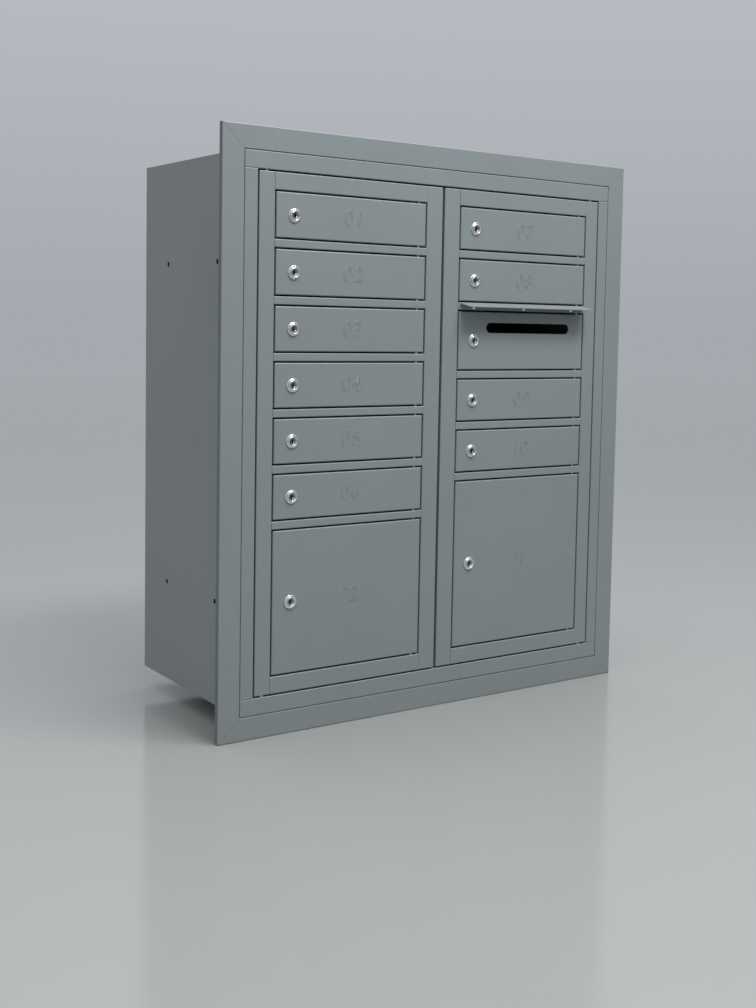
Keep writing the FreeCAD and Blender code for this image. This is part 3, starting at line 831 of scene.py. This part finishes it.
@dataclass
class BackPanel:
    """The rear sheet, with the spot welds that hold it to the flanges."""

    locker: Locker
    finishes: Finishes
    sheet_inset: float = 1.6 * MM    # how far the folded flanges show round the sheet
    edge_radius: float = 0.5 * MM
    edge_steps: int = 3
    weld_radius: float = 3.2 * MM
    weld_height: float = 0.45 * MM
    weld_pitch: float = 62 * MM
    weld_inset: float = 7 * MM

    def _sheet(self, low: Vector, high: Vector) -> bpy.types.Mesh:
        """Make the sheet, its rear edges rounded.

        Args:
            low: its lowest corner.
            high: its highest corner.

        Returns:
            The mesh.
        """
        middle = (low + high) / 2
        work = bmesh.new()
        bmesh.ops.create_cube(work, size=1.0)
        bmesh.ops.transform(work, verts=work.verts, matrix=(
            Matrix.Translation(middle) @ Matrix.Diagonal((*(high - low), 1.0))))
        rear = [e for e in work.edges if all(v.co.y > middle.y for v in e.verts)]
        bmesh.ops.bevel(work, geom=rear, offset=self.edge_radius, segments=self.edge_steps,
                        profile=0.5, affect="EDGES")
        mesh = bpy.data.meshes.new("rear_sheet")
        work.to_mesh(mesh)
        work.free()
        mesh.materials.append(self.finishes.box_coat)
        return mesh

    def _line(self, start: Vector, end: Vector) -> list[Vector]:
        """Evenly spaced places from start to end, at about the weld pitch."""
        steps = max(1, round((end - start).length / self.weld_pitch))
        return [start.lerp(end, k / steps) for k in range(steps + 1)]

    def build(self) -> list[bpy.types.Object]:
        """Build the panel a weld's height inside the frame's rear face, then the welds.

        Returns:
            The sheet and its welds.
        """
        low, high = self.locker.span("back_panel")
        rim = Vector((self.sheet_inset, 0.0, self.sheet_inset))
        low, high = low + rim, high - rim
        high.y -= self.weld_height
        sheet = link("rear_sheet", self._sheet(low, high))
        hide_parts("back_panel")
        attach(sheet, "cabinet")
        left, right = low.x + self.weld_inset, high.x - self.weld_inset
        bottom, top = low.z + self.weld_inset, high.z - self.weld_inset
        turns = [Vector((x, high.y, z)) for x, z in ((left, bottom), (right, bottom),
                                                     (right, top), (left, top))]
        places = []
        for start, end in zip(turns, turns[1:] + turns[:1]):
            places += self._line(start, end)[:-1]
        tree = dome_tree("rear_weld_dome", Axis.REAR, self.finishes.box_coat)
        welds = tree.run("rear_spot_welds", points_mesh("rear_welds", places), {
            "Radius": self.weld_radius, "Height": self.weld_height, "Segments": 18, "Rings": 8})
        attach(welds, "cabinet")
        return [sheet, welds]


@dataclass
class HoodRivets:
    """Domed rivets on the flange of the rain hood."""

    locker: Locker
    finishes: Finishes
    count: int = 3
    head: float = 1.1 * MM           # how far a head stands off the flange

    def build(self) -> list[bpy.types.Object]:
        """Set the domes where the frame's rivets stand.

        Returns:
            The rivets, as one piece.
        """
        low, high = self.locker.span("hood_rivets")
        radius = (high.z - low.z) / 2
        first, last = low.x + radius, high.x - radius
        places = [Vector((first + (last - first) * k / (self.count - 1), low.y + self.head,
                          (low.z + high.z) / 2)) for k in range(self.count)]
        tree = dome_tree("hood_rivet_dome", Axis.FRONT, self.finishes.nickel)
        rivets = tree.run("hood_rivet_heads", points_mesh("hood_rivets_at", places), {
            "Radius": radius, "Height": self.head, "Segments": 32, "Rings": 14})
        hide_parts("hood_rivets")
        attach(rivets, "right_master")
        return [rivets]


@dataclass
class CamLock:
    """Keyed cam lock: stepped housing, nut, plug, cam and screw. Its axis runs along Y.

    Profiles are lists of (radius, y), with y = 0 at the door's face.
    """

    locker: Locker
    finishes: Finishes
    flange_mm: float = 11.0          # radii of the housing
    ring_mm: float = 8.5
    bore_mm: float = 6.45
    barrel_mm: float = 9.5
    flat_mm: float = 8.0             # half the width across the barrel's flats
    barrel_back_mm: float = 13.0
    barrel_edge_mm: float = 0.4
    seat_mm: tuple[Point, ...] = ((-0.15, 0.0), (0.0, -0.25))     # on the flange's radius
    flange_arc_mm: Point = (1.15, -0.85)                          # radius and centre's y
    ring_arc_mm: Point = (1.05, -2.55)
    groove_mm: tuple[Point, ...] = ((0.95, -1.95), (0.7, -0.9), (0.05, -0.9))   # on the ring's
    mouth_mm: tuple[Point, ...] = ((0.75, -3.45), (0.3, -2.6), (0.05, -2.0), (0.0, -1.6))
    thread_start_mm: float = 2.0
    thread_run_out_mm: float = 1.0
    thread_pitch_mm: float = 1.0
    thread_depth_mm: float = 0.35
    ridge_mm: float = 0.42
    nut_half_mm: float = 11.5        # half the width across two flats
    nut_front_mm: float = 1.6
    nut_depth_mm: float = 4.5
    nut_chamfer_mm: float = 0.9
    plug_mm: float = 6.4
    plug_rim_mm: float = 1.5         # width of the rim round the dished face
    plug_edge_mm: float = -2.35      # y of the dish's edge
    plug_round_mm: float = 0.55
    spindle_mm: float = 4.9
    cam_front_mm: float = 13.5
    cam_back_mm: float = 15.5
    cam_hub_mm: float = 7.5
    cam_tip_mm: float = 6.5
    cam_reach_mm: float = 21.5
    cam_edge_mm: float = 0.25
    screw_mm: float = 5.2
    screw_height_mm: float = 2.2
    screw_round_mm: float = 1.5
    keyway_mm: tuple[Point, ...] = ((-1.0, 3.6), (1.0, 3.6), (1.0, 1.3), (1.8, 1.0), (1.8, -1.2),
                                    (1.0, -1.5), (1.0, -4.2), (-1.0, -4.2))
    keyway_reach_mm: Band = (-4.0, 6.0)
    cross_arm_mm: float = 2.4
    cross_slot_mm: float = 0.5
    segments: int = 56
    arc_steps: int = 7

    def _flats(self, radius: float, y: float, angle: float) -> float:
        """Cut the barrel to its two flats.

        Args:
            radius: radius of the round housing.
            y: place along the axis.
            angle: place round it.

        Returns:
            The radius there.
        """
        across = abs(math.cos(angle))
        if y > 0.05 and radius > self.bore_mm + 0.5 and across > 1e-6:
            return min(radius, self.flat_mm / across)
        return radius

    def _housing(self) -> bpy.types.Mesh:
        """Turn the housing: its stepped head, and a barrel with two flats.

        Returns:
            The mesh.
        """
        flange, ring, bore, back = self.flange_mm, self.ring_mm, self.bore_mm, self.barrel_back_mm
        core, edge = self.barrel_mm - self.thread_depth_mm, self.barrel_edge_mm
        step, step_y = self.flange_arc_mm
        lip, lip_y = self.ring_arc_mm
        profile = [(flange + more, y) for more, y in self.seat_mm]
        profile += arc((flange - step, step_y), step, 0, -90, self.arc_steps)
        profile += [(ring + more, y) for more, y in self.groove_mm]
        profile += arc((ring - lip, lip_y), lip, 0, -90, self.arc_steps)
        profile += [(bore + more, y) for more, y in self.mouth_mm]
        profile += [(bore, back), (bore + 0.3, back), (core - edge, back), (core, back - edge),
                    (core, 1.2), (core, 0.0)]
        shell = Shell()
        shell.turned(profile, self.segments, shape=self._flats)
        return shell.mesh("lock_housing", [self.finishes.nickel], smooth_deg=50)

    def _nut(self) -> bpy.types.Mesh:
        """Turn the hexagon nut, its corners chamfered, against the back of the sheet.

        Returns:
            The mesh.
        """
        half, chamfer, hole = self.nut_half_mm, self.nut_chamfer_mm, self.barrel_mm + 0.05
        front, back = self.nut_front_mm, self.nut_front_mm + self.nut_depth_mm
        corner = half / math.cos(math.radians(30))
        profile = [(hole, front), (half - 0.1, front), (corner, front + chamfer),
                   (corner, back - chamfer), (half - 0.1, back), (hole, back)]

        def hexagon(radius: float, y: float, angle: float) -> float:
            """Radius of the nut, cut to its six flats."""
            turn = (math.degrees(angle) % 60) - 30
            return min(radius, half / math.cos(math.radians(turn)))

        shell = Shell()
        shell.turned(profile, 72, shape=hexagon)
        return shell.mesh("lock_nut", [self.finishes.zinc], smooth_deg=20)

    def _plug(self) -> bpy.types.Mesh:
        """Turn the plug with its dished face, and cut the keyway.

        Returns:
            The mesh.
        """
        radius, edge, rounding = self.plug_mm, self.plug_edge_mm, self.plug_round_mm
        dish = radius - self.plug_rim_mm
        face = [(0.0, -1.9), (dish - 0.4, -2.0), (dish, edge)]
        rim = [(dish, edge), (dish + 0.25, -2.75)]
        rim += arc((radius - rounding, edge), rounding, -90, 0, 5)
        rim += [(radius, self.cam_front_mm), (self.spindle_mm, self.cam_front_mm),
                (self.spindle_mm, self.cam_back_mm), (0.0, self.cam_back_mm)]
        blank, cutter = Shell(), Shell()
        blank.turned(face, self.segments, finish=1, open_end=True)
        blank.turned(rim, self.segments, open_start=True)
        cutter.prism(self.keyway_mm, *self.keyway_reach_mm)
        # the dished face (finish 1) takes the rougher nickel darkened with painted shade
        finishes = [self.finishes.satin_nickel, self.finishes.dull_nickel_painted_shade]
        # the keyway's cut walls take the near-black painted shade
        return carved(blank.mesh("plug_blank", finishes, smooth_deg=40),
                      cutter.mesh("keyway_tool", [self.finishes.keyway], smooth_deg=20))

    def _cam(self) -> bpy.types.Mesh:
        """Cut the flat cam, which hangs down to a rounded tip, and break its edges.

        Returns:
            The mesh.
        """
        outline = arc((0.0, 0.0), self.cam_hub_mm, -60, 240, 30)
        outline += arc((0.0, -self.cam_reach_mm), self.cam_tip_mm, 180, 360, 16)
        shell = Shell()
        shell.prism(outline, self.cam_front_mm, self.cam_back_mm)
        return modified(shell.mesh("cam_blank", [self.finishes.zinc], smooth_deg=20), "BEVEL", {
            "width": self.cam_edge_mm * MM, "segments": 2, "limit_method": "ANGLE"})

    def _screw(self) -> bpy.types.Mesh:
        """Turn the pan-head screw behind the cam, and cut its cross recess.

        Returns:
            The mesh.
        """
        seat, radius, rounding = self.cam_back_mm, self.screw_mm, self.screw_round_mm
        top = seat + self.screw_height_mm
        profile = [(0.0, seat), (radius, seat), (radius, seat + 0.7)]
        profile += arc((radius - rounding, top - rounding), rounding, 0, 90, 6)
        profile += [(0.0, top)]
        arm, slot = self.cross_arm_mm, self.cross_slot_mm
        cross = [(slot, slot), (slot, arm), (-slot, arm), (-slot, slot), (-arm, slot),
                 (-arm, -slot), (-slot, -slot), (-slot, -arm), (slot, -arm), (slot, -slot),
                 (arm, -slot), (arm, slot)]
        blank, cutter = Shell(), Shell()
        blank.turned(profile, 36)
        cutter.prism(cross, seat + 1.0, top + 1.0)
        return carved(blank.mesh("screw_blank", [self.finishes.zinc], smooth_deg=40),
                      cutter.mesh("cross_tool", [self.finishes.zinc], smooth_deg=20))

    def _thread(self) -> bpy.types.Mesh:
        """Wind the ridge of the barrel's thread, and press it flat where the barrel is.

        Returns:
            The mesh.
        """
        start = self.thread_start_mm
        length = self.barrel_back_mm - start - self.thread_run_out_mm
        origin = points_mesh("thread_start", [Vector((0, start * MM, 0))])
        wound = thread_tree(self.finishes.nickel).run("thread_blank", origin, {
            "Radius": (self.barrel_mm - 0.45) * MM, "Length": length * MM,
            "Turns": length / self.thread_pitch_mm, "Ridge": self.ridge_mm * MM})
        mesh = wound.data
        limit = (self.flat_mm + 0.02) * MM
        for vertex in mesh.vertices:
            vertex.co.x = max(-limit, min(limit, vertex.co.x))
        bpy.data.objects.remove(wound)
        return mesh

    @staticmethod
    def _joined(name: str, parts: Sequence[bpy.types.Mesh], shift: Vector) -> bpy.types.Object:
        """Join meshes into one piece, moved to its place.

        Args:
            name: the piece's name.
            parts: its meshes, about the lock's own origin.
            shift: where that origin comes to stand.

        Returns:
            The piece.
        """
        materials: list[bpy.types.Material] = []
        work = bmesh.new()
        for part in parts:
            numbers = []
            for material in part.materials:
                if material not in materials:
                    materials.append(material)
                numbers.append(materials.index(material))
            first = len(work.faces)
            work.from_mesh(part)
            work.faces.ensure_lookup_table()
            for face in work.faces[first:]:
                face.material_index = numbers[min(face.material_index, len(numbers) - 1)]
        bmesh.ops.translate(work, verts=work.verts, vec=shift)
        mesh = bpy.data.meshes.new(name)
        work.to_mesh(mesh)
        work.free()
        for material in materials:
            mesh.materials.append(material)
        return link(name, mesh)

    def build(self) -> list[bpy.types.Object]:
        """Build one lock, then set a copy of it in every door.

        Returns:
            A housing and a plug for each door.
        """
        fixed = [self._housing(), self._thread(), self._nut()]
        turning = [self._plug(), self._cam(), self._screw()]
        pieces = []
        for tag in self.locker.tags:
            low, high = self.locker.span(f"lock_{tag}_body")
            front = self.locker.span("door_" + tag)[0].y
            shift = Vector(((low.x + high.x) / 2, front, (low.z + high.z) / 2))
            housing = self._joined("cam_lock_" + tag, fixed, shift)
            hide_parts(f"lock_{tag}_body")
            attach(housing, "door_" + tag)
            plug = self._joined("keyed_plug_" + tag, turning, shift)
            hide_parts(f"lock_{tag}_plug")
            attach(plug, "plug_" + tag)
            pieces += [housing, plug]
        return pieces


@dataclass
class DoorNumbers:
    """Raised outline numerals on the doors' faces."""

    locker: Locker
    finishes: Finishes
    height: float = 25 * MM
    line: float = 0.55 * MM          # radius of the line before it is flattened
    proud: float = 0.45 * MM
    spacing: float = 1.15
    unmarked: tuple[str, ...] = ("mail",)

    def _numeral(self, tag: str) -> bpy.types.Mesh:
        """Make the outlines of a tag, lying on XY about the origin.

        Args:
            tag: the characters.

        Returns:
            The mesh.
        """
        text = bpy.data.curves.new("number", "FONT")
        text.body = tag.upper()
        text.size = self.height / CAPITAL_SHARE
        text.space_character = self.spacing
        text.align_x, text.align_y = "CENTER", "CENTER"
        text.fill_mode = "NONE"
        text.bevel_depth, text.bevel_resolution = self.line, 2
        text.resolution_u = 6
        draft = link("number_draft", text)
        mesh = evaluated(draft)
        bpy.data.objects.remove(draft)
        for polygon in mesh.polygons:
            polygon.use_smooth = True
        return mesh

    def build(self) -> list[bpy.types.Object]:
        """Set a generic compartment number in the middle of each lettered door.

        Returns:
            The numbers, one piece for each door.
        """
        pieces = []
        for tag in self.locker.tags:
            if tag in self.unmarked:
                continue
            low, high = self.locker.span("door_" + tag)
            mesh = self._numeral(tag)
            mesh.transform(Matrix.Diagonal((1.0, 1.0, self.proud / self.line, 1.0)))
            mesh.transform(Matrix.Rotation(math.radians(90), 4, "X"))
            mesh.transform(Matrix.Translation(((low.x + high.x) / 2, low.y,
                                               (low.z + high.z) / 2)))
            mesh.materials.clear()
            mesh.materials.append(self.finishes.front_coat)
            number = link("number_" + tag, mesh)
            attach(number, "door_" + tag)
            pieces.append(number)
        return pieces


@dataclass(frozen=True)
class Softbox:
    """A rectangular area light."""

    name: str
    place: Triple
    size: Point
    power: float                     # in watts
    colour: Colour

    def light(self, aim: Vector) -> None:
        """Hang the light so that it looks at a point.

        Args:
            aim: the point.
        """
        data = bpy.data.lights.new(self.name, "AREA")
        data.shape, data.size, data.size_y = "RECTANGLE", self.size[0], self.size[1]
        data.energy, data.color = self.power, self.colour
        made = link(self.name, data)
        made.location = self.place
        made.rotation_euler = (aim - Vector(self.place)).to_track_quat("-Z", "Y").to_euler()
        made.visible_camera = False


@dataclass
class Studio:
    """Floor, soft lights, pale surroundings and the camera."""

    locker: Locker
    camera_place: Triple = (-1.3005, -1.85133, 0.63187)
    yaw_deg: float = 36.361
    pitch_deg: float = -4.2416
    roll_deg: float = 1.2784
    lens: float = 46.8905
    sensor: float = 36.0
    shift: Point = (-0.0868, -0.0836)
    clip: Band = (0.05, 100.0)
    floor_size: float = 24.0
    floor_gap: float = 0.2 * MM      # keeps the trim's lower face clear of the floor
    surroundings: Colour = (0.91, 0.95, 1.02)
    near_side: float = 0.25          # brightness behind the camera
    far_side: float = 0.42           # and behind the locker
    far_band: Band = (-0.2, 0.5)     # Y of the view direction where one turns into the other
    wall_rise: float = 0.16
    rise_band: Band = (0.0, 0.35)
    ceiling: float = 1.8
    ceiling_band: Band = (0.3, 0.9)
    aim: Triple = (0.0, 0.0, 0.45)
    softboxes: tuple[Softbox, ...] = (
        Softbox("ceiling_light", (0.2, -1.15, 2.77), (1.6, 0.6), 74.0, (1.0, 1.0, 0.985)),
        Softbox("window_light", (-2.9, -2.2, 1.1), (1.8, 1.8), 10.0, (0.96, 0.98, 1.0)))

    def _floor(self) -> None:
        """Lay a plain floor that the trim's lower edge stands on."""
        level = self.locker.span("trim_bottom")[0].z - self.floor_gap
        half = self.floor_size / 2
        mesh = bpy.data.meshes.new("floor")
        mesh.from_pydata([(-half, -half, level), (half, -half, level), (half, half, level),
                          (-half, half, level)], [], [(0, 1, 2, 3)])
        mesh.materials.append(StudioFloor().material())
        link("floor", mesh)

    def _surround(self) -> None:
        """Make pale light from all round: a bright ceiling and a dimmer side behind the camera."""
        world = bpy.data.worlds.new("surroundings")
        world.use_nodes = True
        graph = Graph(world.node_tree)
        across, up = graph.split(graph.node("ShaderNodeTexCoord", output="Generated"))[1:]
        wall = graph.spread(across, self.far_band, (self.near_side, self.far_side), "SMOOTHSTEP")
        wall = wall + graph.spread(up, self.rise_band, (0.0, self.wall_rise))
        high = graph.spread(up, self.ceiling_band, easing="SMOOTHSTEP")
        sky = graph.node("ShaderNodeBackground", {}, {
            "Color": (*self.surroundings, 1.0), "Strength": wall + high * (self.ceiling - wall)})
        graph.node("ShaderNodeOutputWorld", {}, {"Surface": sky})
        bpy.context.scene.world = world

    def _camera(self) -> None:
        """Set up the camera, to the left of the object and looking slightly down."""
        data = bpy.data.cameras.new("camera")
        data.sensor_width, data.lens = self.sensor, self.lens
        data.shift_x, data.shift_y = self.shift
        data.clip_start, data.clip_end = self.clip
        turn = (Matrix.Rotation(-math.radians(self.yaw_deg), 4, "Z")
                @ Matrix.Rotation(math.radians(90 + self.pitch_deg), 4, "X")
                @ Matrix.Rotation(math.radians(self.roll_deg), 4, "Z"))
        camera = link("camera", data)
        camera.matrix_world = Matrix.Translation(self.camera_place) @ turn
        bpy.context.scene.camera = camera

    def build(self) -> None:
        """Build the stage and set plain colour handling."""
        self._floor()
        self._surround()
        for softbox in self.softboxes:
            softbox.light(Vector(self.aim))
        self._camera()
        view = bpy.context.scene.view_settings
        view.view_transform = "Standard"
        view.look = "None"
        LOG.info("studio ready")


def corners(box: tuple[Vector, Vector]) -> list[list[float]]:
    """A box's two corners as plain lists."""
    return [[float(c) for c in corner] for corner in box]


def main() -> None:
    """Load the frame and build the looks."""
    logging.basicConfig(level=logging.INFO, format="%(name)s: %(message)s")
    locker = Locker(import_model())
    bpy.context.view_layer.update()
    finishes = Finishes(locker.span("trim_left")[0].y)
    for assembly in (SheetMetal, BackPanel, HoodRivets, CamLock, DoorNumbers):
        for piece in assembly(locker, finishes).build():
            LOG.info("%s: %s, %d faces", assembly.__name__, piece.name, len(piece.data.polygons))
    Studio(locker).build()
    bpy.context.view_layer.update()


if __name__ == "__main__":
    main()
